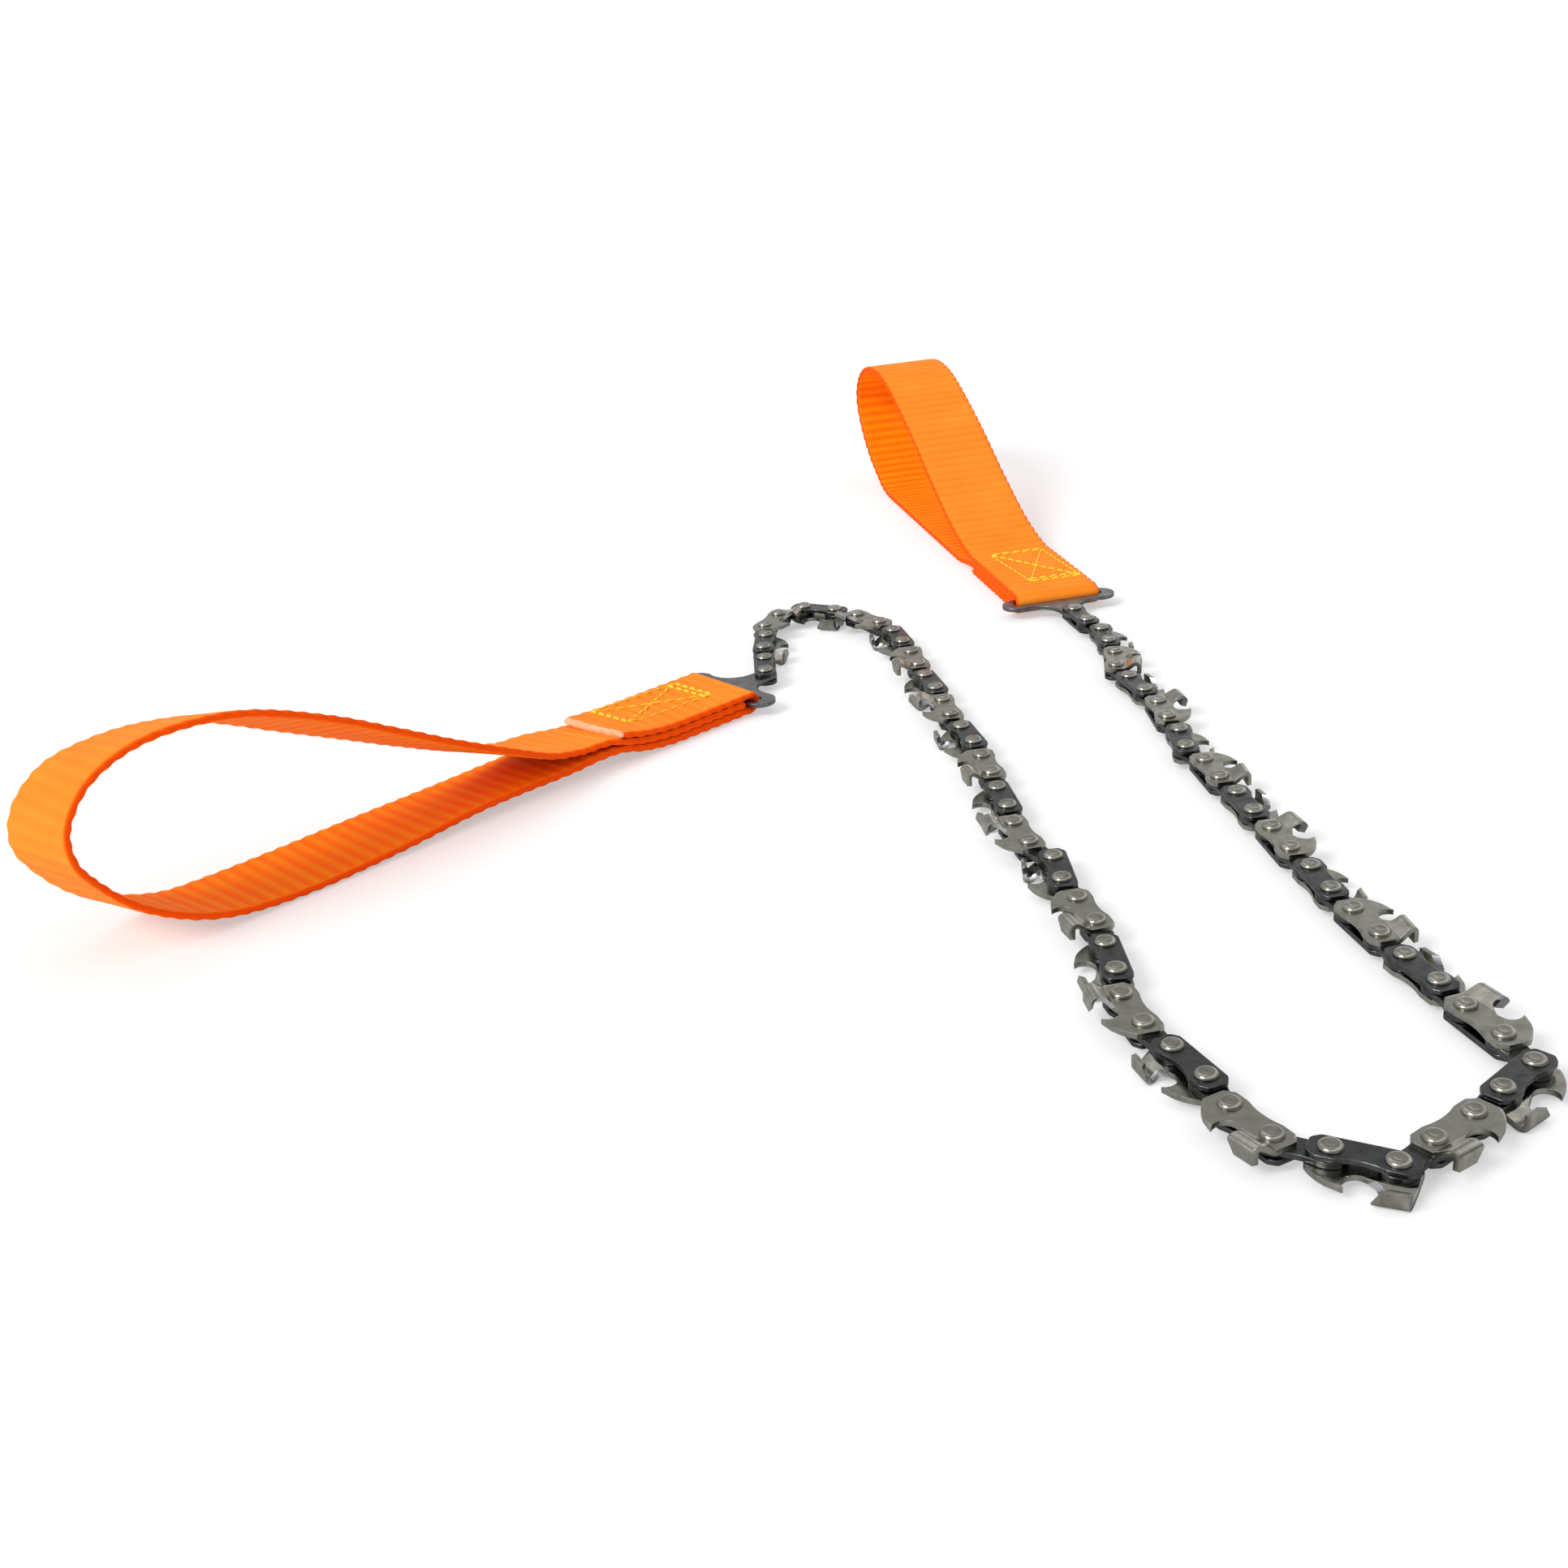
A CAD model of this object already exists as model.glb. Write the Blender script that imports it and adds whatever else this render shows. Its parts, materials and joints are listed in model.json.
"""A pocket chainsaw laid out in a U on a pale studio floor.

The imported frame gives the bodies. Every link, rivet, end plate and strap is built here as a
surface worked out with numpy and rides on the body that carries it. Sizes in the classes are
millimetres, and the finished meshes are in the frame's own metres and place.
"""
import json
import logging
from dataclasses import dataclass, field
from enum import Enum

import bpy
import numpy as np
from mathutils import Matrix, Vector
from mathutils.geometry import tessellate_polygon

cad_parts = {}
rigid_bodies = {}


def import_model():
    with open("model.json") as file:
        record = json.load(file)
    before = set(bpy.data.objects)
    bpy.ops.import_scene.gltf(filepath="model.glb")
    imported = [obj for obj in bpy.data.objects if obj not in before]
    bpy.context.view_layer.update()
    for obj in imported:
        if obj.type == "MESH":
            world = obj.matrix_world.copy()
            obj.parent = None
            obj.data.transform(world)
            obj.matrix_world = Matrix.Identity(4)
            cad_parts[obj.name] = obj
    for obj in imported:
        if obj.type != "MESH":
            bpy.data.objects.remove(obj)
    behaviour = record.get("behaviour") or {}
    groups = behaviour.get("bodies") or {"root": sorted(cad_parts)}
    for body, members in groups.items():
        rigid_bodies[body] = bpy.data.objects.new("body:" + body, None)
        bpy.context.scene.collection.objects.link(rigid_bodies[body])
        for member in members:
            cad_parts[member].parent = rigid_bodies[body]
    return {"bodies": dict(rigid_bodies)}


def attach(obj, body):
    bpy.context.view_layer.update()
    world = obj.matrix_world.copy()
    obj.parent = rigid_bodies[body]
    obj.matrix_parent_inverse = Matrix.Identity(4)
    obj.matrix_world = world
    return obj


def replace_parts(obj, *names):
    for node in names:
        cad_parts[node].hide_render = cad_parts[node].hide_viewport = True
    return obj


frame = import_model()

log = logging.getLogger("pocket_saw")
Array = np.ndarray
Colour = tuple[float, float, float]
Socket = bpy.types.NodeSocket
MM = 0.001
# Height of the chain's middle above the floor.
MID_Z = 3.07726
# How far inside its rivets the hollow in a link's edge starts.
HOLLOW_START = 1.1
# Grid steps in a millimetre on which two points count as one.
WELD = 2000


# ---------------------------------------------------------------- shapes

def along(angle: float | Array) -> Array:
    """Unit vector at an angle in degrees, or one row for each angle."""
    a = np.radians(angle)
    return np.stack([np.cos(a), np.sin(a)], axis=-1)


def arc(centre: Array, radius: float, start: float, end: float, steps: int) -> Array:
    """Points of a circle about a centre, from one angle to another in equal steps.

    Args:
        centre: Centre of the circle.
        radius: Radius of the circle.
        start: First angle in degrees.
        end: Last angle in degrees.
        steps: Number of equal steps.

    Returns:
        One row for each point.
    """
    return np.asarray(centre) + radius * along(np.linspace(start, end, steps + 1))


def quads(rows: int, cols: int, closed: bool = False) -> Array:
    """Faces of a grid whose point (i, j) has the index i * cols + j.

    Args:
        rows: Number of rows of points.
        cols: Number of points in a row.
        closed: Whether the last point of a row joins the first.

    Returns:
        Four indices for each face, turning left over growing j and then growing i.
    """
    i, j = np.meshgrid(np.arange(rows - 1), np.arange(cols if closed else cols - 1), indexing="ij")
    k = (j + 1) % cols
    this, following = i * cols, (i + 1) * cols
    return np.stack([this + j, this + k, following + k, following + j], -1).reshape(-1, 4)


@dataclass
class Shell:
    """Closed surface in millimetres.

    Attributes:
        points: One row for each point.
        faces: One array of faces for each count of corners.
        marks: For each array of faces, the number of the finish of each face.
        uv: Two surface coordinates of each point, or None.
    """

    points: Array
    faces: list[Array]
    marks: list[Array] = field(default_factory=list)
    uv: Array | None = None

    def __post_init__(self) -> None:
        """Gives every face the first finish where none is named."""
        if not self.marks:
            self.marks = [np.zeros(len(f), int) for f in self.faces]

    def placed(self, matrix: Array) -> "Shell":
        """The shell moved by a 4 x 4 matrix, with its faces turned round where that mirrors it.

        Args:
            matrix: The 4 x 4 matrix.

        Returns:
            A new shell.
        """
        points = self.points @ matrix[:3, :3].T + matrix[:3, 3]
        mirrored = np.linalg.det(matrix[:3, :3]) < 0
        faces = [f[:, ::-1] if mirrored else f for f in self.faces]
        return Shell(points, faces, self.marks, self.uv)

    def turned_out(self) -> "Shell":
        """The shell with its faces turned round if they point inward.

        Six times the volume about the middle point is the sum, over both triangles of each
        four-cornered face, of the product of one corner with the cross product of the others.

        Returns:
            This shell, or a new one.
        """
        corners = (self.points - self.points.mean(0))[self.faces[0]]
        a, b, c, d = corners.transpose(1, 0, 2)
        volume = (a * np.cross(b, c)).sum() + (a * np.cross(c, d)).sum()
        if volume > 0:
            return self
        return Shell(self.points, [f[:, ::-1] for f in self.faces], self.marks, self.uv)

    @staticmethod
    def joined(shells: list["Shell"]) -> "Shell":
        """Several shells as one.

        Args:
            shells: The shells.

        Returns:
            One shell that holds all of them.
        """
        starts = np.cumsum([0] + [len(s.points) for s in shells[:-1]])
        return Shell(
            np.concatenate([s.points for s in shells]),
            [f + start for s, start in zip(shells, starts) for f in s.faces],
            [m for s in shells for m in s.marks],
        )

    def piece(self, name: str, finishes: list["Finish"]) -> bpy.types.Object:
        """Makes the shell a Blender object and reports it.

        Args:
            name: Name of the piece.
            finishes: The finishes that the marks count.

        Returns:
            The object, at the origin, with its place in its mesh.
        """
        mesh = bpy.data.meshes.new(name)
        faces = [f for group in self.faces for f in group.tolist()]
        mesh.from_pydata((self.points * MM).tolist(), [], faces)
        for finish in finishes:
            mesh.materials.append(finish.material())
        mesh.polygons.foreach_set("material_index", np.concatenate(self.marks).astype(np.int32))
        mesh.polygons.foreach_set("use_smooth", np.ones(len(faces), bool))
        if self.uv is not None:
            corner = np.zeros(len(mesh.loops), np.int32)
            mesh.loops.foreach_get("vertex_index", corner)
            layer = mesh.uv_layers.new(name="cloth")
            layer.data.foreach_set("uv", self.uv[corner].astype(np.float32).ravel())
        mesh.update()
        obj = bpy.data.objects.new(name, mesh)
        bpy.context.scene.collection.objects.link(obj)
        log.info("%s: %d points, %d faces", name, len(self.points), len(faces))
        return obj


def rim(outline: Array, inset: float) -> Array:
    """A closed outline moved inward.

    Each point moves along the mean of the normals of its two edges, far enough that both edges
    move by the inset.

    Args:
        outline: Points that turn left round the solid.
        inset: Distance inward.

    Returns:
        The moved points.
    """
    edge = np.roll(outline, -1, 0) - outline
    normal = np.stack([-edge[:, 1], edge[:, 0]], -1) / np.linalg.norm(edge, axis=1)[:, None]
    mean = normal + np.roll(normal, 1, 0)
    mean /= np.linalg.norm(mean, axis=1)[:, None]
    return outline + inset * mean / np.maximum((mean * normal).sum(1), 0.5)[:, None]


def plate(outlines: list[Array], low: float, high: float, edge: float, steps: int = 3) -> Shell:
    """A flat plate with rounded edges.

    Every outline is carried up the thickness. Near each face it draws in on a quarter circle of
    the edge's radius, and the two faces are filled between the innermost outlines.

    Args:
        outlines: The outer outline, turning left, and any holes, turning right.
        low: Height of the lower face.
        high: Height of the upper face.
        edge: Radius of the rounded edges.
        steps: Steps in each quarter circle.

    Returns:
        The closed shell.
    """
    lift, inset = (edge * (1 - along(np.linspace(0, 90, steps + 1)))).T
    insets = np.concatenate([inset, inset[::-1]])
    heights = np.concatenate([low + lift, high - lift[::-1]])
    points, faces, lower, upper, start = [], [], [], [], 0
    for outline in outlines:
        count = len(outline)
        rings = np.stack([np.column_stack([rim(outline, d), np.full(count, z)])
                          for d, z in zip(insets, heights)])
        points.append(rings.reshape(-1, 3))
        faces.append(quads(len(rings), count, closed=True) + start)
        lower.append(start + np.arange(count))
        start += len(rings) * count
        upper.append(start - count + np.arange(count))
    mouths = [rim(outline, edge) for outline in outlines]
    fill = np.array(tessellate_polygon([[Vector((x, y, 0)) for x, y in m] for m in mouths]))
    corner = np.concatenate(mouths)[fill]
    (ax, ay), (bx, by) = (corner[:, 1] - corner[:, 0]).T, (corner[:, 2] - corner[:, 0]).T
    right = ax * by < ay * bx
    fill[right] = fill[right][:, ::-1]
    faces += [np.concatenate(lower)[fill][:, ::-1], np.concatenate(upper)[fill]]
    return Shell(np.concatenate(points), faces)


def tube(rings: Array, uv: Array | None = None) -> Shell:
    """Rings of points, each joined to the next, with one flat face at each end.

    Args:
        rings: Points as rings by places round a ring.
        uv: Two surface coordinates of each point, or None.

    Returns:
        The closed shell, with its faces outward.
    """
    count, around = rings.shape[:2]
    first = np.arange(around)[None]
    faces = [quads(count, around, closed=True), first[:, ::-1], (count - 1) * around + first]
    return Shell(rings.reshape(-1, 3), faces, uv=uv).turned_out()


def lathe(profile: Array, around: int) -> Shell:
    """A solid of revolution: each point of the profile goes round the z axis on a circle.

    Args:
        profile: Radius and height of each point, from the bottom to the top.
        around: Number of points round the axis.

    Returns:
        The closed shell, with a flat face at each end.
    """
    turn = along(np.arange(around) * 360 / around)
    height = np.broadcast_to(profile[:, 1, None, None], (len(profile), around, 1))
    return tube(np.concatenate([profile[:, :1, None] * turn[None], height], -1))


def thickened(top: Array, bottom: Array, faces: Array, ground: Array) -> Shell:
    """A sheet given its thickness: two layers of the same faces, joined along their open edge.

    An edge is open where only one face has it.

    Args:
        top: Points of the outer layer.
        bottom: The matching points of the inner layer.
        faces: Faces of the outer layer, turning left seen from outside.
        ground: Whether each point lies on the edge that the file has ground.

    Returns:
        The closed shell, whose second finish is on the ground face.
    """
    edges = np.stack([faces, np.roll(faces, -1, 1)], -1).reshape(-1, 2)
    edges = edges[edges[:, 0] != edges[:, 1]]
    key = edges.min(1) * len(top) + edges.max(1)
    _, first, count = np.unique(key, return_index=True, return_counts=True)
    a, b = edges[first[count == 1]].T
    wall = np.stack([b, a, a + len(top), b + len(top)], -1)
    plain = np.zeros(len(faces), int)
    return Shell(
        np.concatenate([top, bottom]),
        [faces, faces[:, ::-1] + len(top), wall],
        [plain, plain, (ground[a] & ground[b]).astype(int)],
    )


def bevelled(piece: bpy.types.Object, width: float, sharp: float = 38) -> bpy.types.Object:
    """Rounds a piece's sharp edges and keeps its flats flat.

    Args:
        piece: The piece.
        width: Width of the rounding, or 0 where the mesh has it already.
        sharp: Angle in degrees from which an edge is rounded.

    Returns:
        The same piece.
    """
    if width:
        bevel = piece.modifiers.new("edges", "BEVEL")
        bevel.width, bevel.segments, bevel.limit_method = width * MM, 2, "ANGLE"
        bevel.angle_limit = np.radians(sharp)
    piece.modifiers.new("flats", "WEIGHTED_NORMAL").weight = 90
    return piece


# ---------------------------------------------------------------- finishes

class Nodes:
    """Short words for making the nodes of a material or of the world."""

    def __init__(self, owner: bpy.types.Material | bpy.types.World) -> None:
        """Takes the owner's tree and its shader.

        Args:
            owner: A new material or world.
        """
        owner.use_nodes = True
        self.owner, self.tree = owner, owner.node_tree
        self.shader = self.tree.nodes.get("Principled BSDF") or self.tree.nodes["Background"]

    def add(self, kind: str, inputs: dict | None = None, **settings: object) -> bpy.types.Node:
        """Adds a node.

        Args:
            kind: Blender's name of the node, without the leading ShaderNode.
            inputs: Values or sockets for its inputs, by name or number.
            **settings: Settings of the node.

        Returns:
            The node.
        """
        node = self.tree.nodes.new("ShaderNode" + kind)
        for name, value in settings.items():
            setattr(node, name, value)
        for name, value in (inputs or {}).items():
            self.feed(node.inputs[name], value)
        return node

    def feed(self, socket: Socket, value: object) -> None:
        """Links a socket to another, or sets its value.

        Args:
            socket: The input.
            value: The socket that it is linked to, or its value.
        """
        if isinstance(value, Socket):
            self.tree.links.new(value, socket)
        else:
            socket.default_value = value

    def maths(self, operation: str, *values: object) -> Socket:
        """The result of a Math node on one to three values or sockets."""
        return self.add("Math", dict(enumerate(values)), operation=operation).outputs[0]

    def weighed(self, start: float, *parts: tuple[Socket, float]) -> Socket:
        """A sum of values.

        Args:
            start: Value that the sum starts from.
            *parts: Each value, with the weight that it is multiplied by.

        Returns:
            The socket of the sum.
        """
        total = start
        for value, weight in parts:
            total = self.maths("MULTIPLY_ADD", value, weight, total)
        return total

    def noise(self, where: Socket, scale: float, detail: float = 3) -> Socket:
        """Noise from 0 to 1 at a place, with that many grains in a metre."""
        return self.add("TexNoise", {"Vector": where, "Scale": scale, "Detail": detail}).outputs[0]

    def ramp(self, value: Socket, stops: list[tuple[float, Colour]]) -> Socket:
        """A colour that follows a value.

        Args:
            value: The value.
            stops: Places from 0 to 1 in growing order, each with its colour.

        Returns:
            The socket of the colour.
        """
        node = self.add("ValToRGB", {"Fac": value})
        ends = node.color_ramp.elements
        ends[0].position, ends[1].position = stops[0][0], stops[-1][0]
        ends[0].color, ends[1].color = (*stops[0][1], 1), (*stops[-1][1], 1)
        for place, colour in stops[1:-1]:
            ends.new(place).color = (*colour, 1)
        return node.outputs["Color"]

    def surface(self, inputs: dict, height: Socket, strength: float,
                depth: float) -> bpy.types.Material:
        """Feeds the shader.

        Args:
            inputs: Values or sockets for the shader's inputs, by name.
            height: Height of the bump.
            strength: Share of the bump that shows.
            depth: Millimetres that a height of 1 stands for.

        Returns:
            The material.
        """
        bump = self.add("Bump", {"Height": height, "Strength": strength, "Distance": depth * MM})
        for name, value in {**inputs, "Normal": bump.outputs[0]}.items():
            self.feed(self.shader.inputs[name], value)
        return self.owner


@dataclass(frozen=True)
class Finish:
    """What a surface is made of.

    Attributes:
        name: Name of the material.
        slot: The record's slot that it stands for.
    """

    name: str
    slot: str

    def material(self) -> bpy.types.Material:
        """The material, made at its first use."""
        ready = bpy.data.materials.get(self.name)
        return ready or self.dress(Nodes(bpy.data.materials.new(self.name)))

    def dress(self, nodes: Nodes) -> bpy.types.Material:
        """Gives a new material its look."""
        return nodes.owner


@dataclass(frozen=True)
class Steel(Finish):
    """Stamped steel: a clouded metal with fine rolling lines and small pits.

    Attributes:
        dark: Colour where the surface is worn or stained.
        light: Colour where it is clean.
        smooth: Lowest roughness.
        rough: Highest roughness.
        grain: Depth of the pits in millimetres.
        clouds: Clouds in a metre.
        rolling: Rolling lines in a metre along each axis.
        pits: Pits in a metre.
    """

    dark: Colour
    light: Colour
    smooth: float
    rough: float
    grain: float = 0.01
    clouds: float = 420
    rolling: tuple[float, float, float] = (260, 2600, 260)
    pits: float = 4200

    def dress(self, nodes: Nodes) -> bpy.types.Material:
        """Clouds and lines mix the two colours and drive the roughness.

        The mix is three quarters of the clouds and one quarter of the lines. The bump is the
        sum of the pits and the lines.

        Args:
            nodes: The new material's nodes.

        Returns:
            The material.
        """
        where = nodes.add("TexCoord").outputs["Object"]
        stretched = nodes.add("Mapping", {"Vector": where, "Scale": self.rolling}).outputs[0]
        clouds, lines = nodes.noise(where, self.clouds, 5), nodes.noise(stretched, 1, 2)
        pits = nodes.noise(where, self.pits, 2)
        blend = nodes.weighed(0.0, (clouds, 0.75), (lines, 0.25))
        stained, clean = 0.36, 0.62
        rough = nodes.add("MapRange", {"Value": blend, "From Min": clean, "From Max": stained,
                                       "To Min": self.smooth, "To Max": self.rough})
        return nodes.surface({
            "Base Color": nodes.ramp(blend, [(stained, self.dark), (clean, self.light)]),
            "Roughness": rough.outputs[0],
            "Metallic": 1.0,
        }, nodes.maths("ADD", pits, lines), 0.22, self.grain)


@dataclass(frozen=True)
class Woven(Finish):
    """Ribbed webbing, whose yarns follow the cloth's own coordinates in millimetres.

    Attributes:
        deep: Colour between the ribs.
        bright: Colour on the ribs.
        edge: Colour of the two edges.
        contrast: Share of the ribs in the colour.
        rib: Distance between ribs.
        yarn: Distance between the yarns that run along the webbing.
        fuzz: Grains of the fuzz in a metre.
        cloud: Broad clouds in a metre.
        edge_from: Distance from the middle at which the edge's colour starts.
        edge_full: Distance from the middle at which it is full.
    """

    deep: Colour
    bright: Colour
    edge: Colour
    contrast: float
    rib: float = 3.55
    yarn: float = 0.62
    fuzz: float = 5200
    cloud: float = 90
    edge_from: float = 11.6
    edge_full: float = 12.3

    def dress(self, nodes: Nodes) -> bpy.types.Material:
        """The ribs shade the colour, and yarns cross them in the colour and the bump.

        A rib's height is the square of the sine of the length over its pitch. A yarn's height
        is the absolute sine of the width over its own pitch, and every other rib shifts the
        yarns by half a pitch, as a plain weave does. The colour follows the sum of both, of a
        fine fuzz and of broad clouds, each with its weight.

        Args:
            nodes: The new material's nodes.

        Returns:
            The material.
        """
        cloth = nodes.add("UVMap", uv_map="cloth").outputs[0]
        u, v, _ = nodes.add("SeparateXYZ", {0: cloth}).outputs
        turn = nodes.maths("MULTIPLY", u, np.pi / self.rib)
        ridge = nodes.maths("POWER", nodes.maths("SINE", turn), 2.0)
        rib_number = nodes.maths("FLOOR", nodes.maths("DIVIDE", u, self.rib))
        across = nodes.weighed(0.0, (v, np.pi / self.yarn), (rib_number, np.pi / 2))
        yarn = nodes.maths("ABSOLUTE", nodes.maths("SINE", across))
        where = nodes.add("TexCoord").outputs["Object"]
        fuzz, cloud = nodes.noise(where, self.fuzz, 3), nodes.noise(where, self.cloud, 2)
        tone = nodes.weighed(0.3 - 0.5 * self.contrast,
                             (ridge, self.contrast), (yarn, 0.14), (fuzz, 0.22), (cloud, 0.24))
        at_edge = nodes.add("MapRange", {"Value": nodes.maths("ABSOLUTE", v),
                                         "From Min": self.edge_from, "From Max": self.edge_full})
        face = nodes.ramp(tone, [(0.2, self.deep), (0.85, self.bright)])
        # A Mix node for colours takes its factor at 0 and its colours at 6 and 7.
        colour = nodes.add("Mix", {0: at_edge.outputs[0], 6: face, 7: (*self.edge, 1.0)},
                           data_type="RGBA")
        raised = nodes.maths("MULTIPLY", yarn, nodes.maths("MULTIPLY", ridge, 0.7))
        return nodes.surface({
            "Base Color": colour.outputs[2],
            "Roughness": 0.62,
            "Specular IOR Level": 0.05,
        }, nodes.maths("ADD", raised, fuzz), 0.5, 0.12)


@dataclass(frozen=True)
class Plastic(Finish):
    """Sewing thread or melted webbing: a soft colour with a fine grain.

    Attributes:
        dark: Colour in the hollows of the grain.
        light: Colour on top of it.
        rough: Roughness.
        grains: Grains in a metre.
    """

    dark: Colour
    light: Colour
    rough: float
    grains: float

    def dress(self, nodes: Nodes) -> bpy.types.Material:
        """Noise mixes the two colours and makes the bump.

        Args:
            nodes: The new material's nodes.

        Returns:
            The material.
        """
        grain = nodes.noise(nodes.add("TexCoord").outputs["Object"], self.grains, 3)
        colour = nodes.ramp(grain, [(0.35, self.dark), (0.65, self.light)])
        return nodes.surface({"Base Color": colour, "Roughness": self.rough}, grain, 0.4, 0.1)


CUTTER_STEEL = Steel(
    "stamped steel", "cutter_steel", dark=(0.28, 0.272, 0.235), light=(0.45, 0.44, 0.385),
    smooth=0.17, rough=0.32, grain=0.006)
GROUND_STEEL = Steel(
    "ground steel", "cutter_steel", dark=(0.62, 0.63, 0.64), light=(0.82, 0.83, 0.84),
    smooth=0.16, rough=0.28, grain=0.004)
BLUED_STEEL = Steel(
    "blued steel", "oxide_steel", dark=(0.060, 0.064, 0.064), light=(0.125, 0.131, 0.130),
    smooth=0.20, rough=0.34, grain=0.006)
PLATE_STEEL = Steel(
    "plate steel", "oxide_steel", dark=(0.15, 0.155, 0.16), light=(0.25, 0.255, 0.26),
    smooth=0.28, rough=0.42)
RIVET_STEEL = Steel(
    "rivet steel", "oxide_steel", dark=(0.26, 0.247, 0.215), light=(0.43, 0.41, 0.365),
    smooth=0.14, rough=0.26, grain=0.004)
EDGE_ORANGE = (1.0, 0.085, 0.0)
WEBBING = Woven(
    "orange webbing", "webbing", deep=(1.0, 0.09, 0.0), bright=(1.0, 0.35, 0.032),
    edge=EDGE_ORANGE, contrast=0.08)
WEBBING_INSIDE = Woven(
    "webbing inside", "webbing", deep=(1.0, 0.075, 0.0), bright=(1.0, 0.31, 0.004),
    edge=EDGE_ORANGE, contrast=0.30)
MELTED_END = Plastic(
    "melted webbing", "webbing", dark=(0.98, 0.34, 0.12), light=(1.0, 0.52, 0.30),
    rough=0.12, grains=900)
THREAD = Plastic(
    "sewing thread", "webbing", dark=(0.96, 0.58, 0.012), light=(1.0, 0.74, 0.035),
    rough=0.45, grains=6000)


# ---------------------------------------------------------------- the chain

class Side(Enum):
    """Face of the chain that a cutter stands on."""

    UPPER = 1
    LOWER = -1


class Lead(Enum):
    """What a cutter leads with, counted from the right handle."""

    TOOTH = 1
    RAKER = -1


@dataclass
class Layers:
    """Heights and plan sizes that every piece of the chain shares.

    Attributes:
        outer_pitch: Distance between the rivets of an outer link.
        centre_pitch: Distance between the rivets of a centre link.
        plate_w: Width of a side plate.
        plate_t: Thickness of a side plate.
        link_t: Thickness of a centre link and of an end plate.
        end_gap: Room between the side plates of two outer links in a straight chain.
        hole_d: Diameter of the hole for a rivet's hub.
        side_clear: Room between a centre link and a side plate.
        chamfer_l: Length of a side plate's cut corner along the link.
        chamfer_w: Its length across the link.
    """

    outer_pitch: float = 9.9
    centre_pitch: float = 8.7
    plate_w: float = 5.8
    plate_t: float = 1.0
    link_t: float = 1.1
    end_gap: float = 1.7
    hole_d: float = 3.7
    side_clear: float = 0.05
    chamfer_l: float = 1.5
    chamfer_w: float = 1.2

    @property
    def half_w(self) -> float:
        """Half the width of a side plate."""
        return self.plate_w / 2

    @property
    def side_z(self) -> float:
        """Height of a side plate's inner face above the middle of the chain."""
        return self.link_t / 2 + self.side_clear

    @property
    def reach(self) -> float:
        """How far a side plate reaches past its rivets."""
        return (self.centre_pitch - self.end_gap) / 2

    def hole(self, x: float) -> Array:
        """The outline of a hole for a rivet's hub, turning right."""
        return arc([x, 0], self.hole_d / 2, 0, -360, 24)[:-1]

    def corner(self, y: Array) -> Array:
        """How far the cut corner on a plate's back edge draws the end in, at heights y."""
        return self.chamfer_l * np.clip((self.chamfer_w - self.half_w - y) / self.chamfer_w, 0, 1)


def hollow(x: Array, length: float, depth: float) -> Array:
    """Depth of a shallow round hollow between two rivets, at places x along the link.

    The hollow is the part of a circle that passes through the edge a little inside each rivet
    and lies that deep in the middle.

    Args:
        x: Places along the link.
        length: Distance between the rivets.
        depth: Depth in the middle.

    Returns:
        The depth at each place.
    """
    half = length / 2 - HOLLOW_START
    radius = (half * half + depth * depth) / (2 * depth)
    away = np.clip(x - length / 2, -half, half)
    return np.maximum(np.sqrt(radius**2 - away**2) - radius + depth, 0)


def hollow_edge(half: float, length: float, depth: float, count: int) -> Array:
    """The hollow part of a link's upper edge, from its second rivet back to its first.

    Args:
        half: Half the link's width.
        length: Distance between the rivets.
        depth: Depth of the hollow in the middle.
        count: Number of points.

    Returns:
        One row for each point.
    """
    x = np.linspace(length - HOLLOW_START, HOLLOW_START, count)
    return np.column_stack([x, half - hollow(x, length, depth)])


def softened(outline: Array, radius: float) -> Array:
    """A closed outline with its sharp corners rounded.

    A corner that turns by more than 20 degrees gives way to five points of a quadratic curve
    that leaves each edge at the given distance, or at 0.45 of a shorter edge. Other corners
    stay as they are.

    Args:
        outline: Points that turn left round the solid.
        radius: Distance from the corner at which the curve starts.

    Returns:
        The rounded outline.
    """
    before, after = np.roll(outline, 1, 0) - outline, np.roll(outline, -1, 0) - outline
    lengths = [np.linalg.norm(v, axis=1)[:, None] for v in (before, after)]
    unit = [before / lengths[0], after / lengths[1]]
    sharp = (unit[0] * unit[1]).sum(1) > -np.cos(np.radians(20))
    start, end = (outline + u * np.minimum(radius, n * 0.45) for u, n in zip(unit, lengths))
    t = np.linspace(0, 1, 5)[:, None, None]
    curve = (1 - t) ** 2 * start + 2 * t * (1 - t) * outline + t**2 * end
    return np.concatenate([curve[:, k] if s else outline[k:k + 1] for k, s in enumerate(sharp)])


@dataclass
class TieStrap:
    """Plain side plate: cut corners and a hollow on the tooth side.

    Attributes:
        layers: The chain's sizes.
        hollow_depth: Depth of the hollow.
        edge: Radius of the rounded edges.
        corner_r: Distance from a corner at which its rounding starts.
    """

    layers: Layers
    hollow_depth: float = 0.8
    edge: float = 0.2
    corner_r: float = 0.5

    def shell(self) -> Shell:
        """The plate above the centre links, with its first rivet at x = 0.

        Its outline goes round eight corners, with the hollow's circle between two of them.

        Returns:
            The shell.
        """
        size = self.layers
        left, right, half = -size.reach, size.outer_pitch + size.reach, size.half_w
        outline = np.array([
            [left, size.chamfer_w - half], [left + size.chamfer_l, -half],
            [right - size.chamfer_l, -half], [right, size.chamfer_w - half],
            [right, half - size.chamfer_w], [right - size.chamfer_l, half],
            *hollow_edge(half, size.outer_pitch, self.hollow_depth, 25),
            [left + size.chamfer_l, half], [left, half - size.chamfer_w],
        ])
        low = size.side_z
        return plate([softened(outline, self.corner_r)], low, low + size.plate_t, self.edge)


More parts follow.
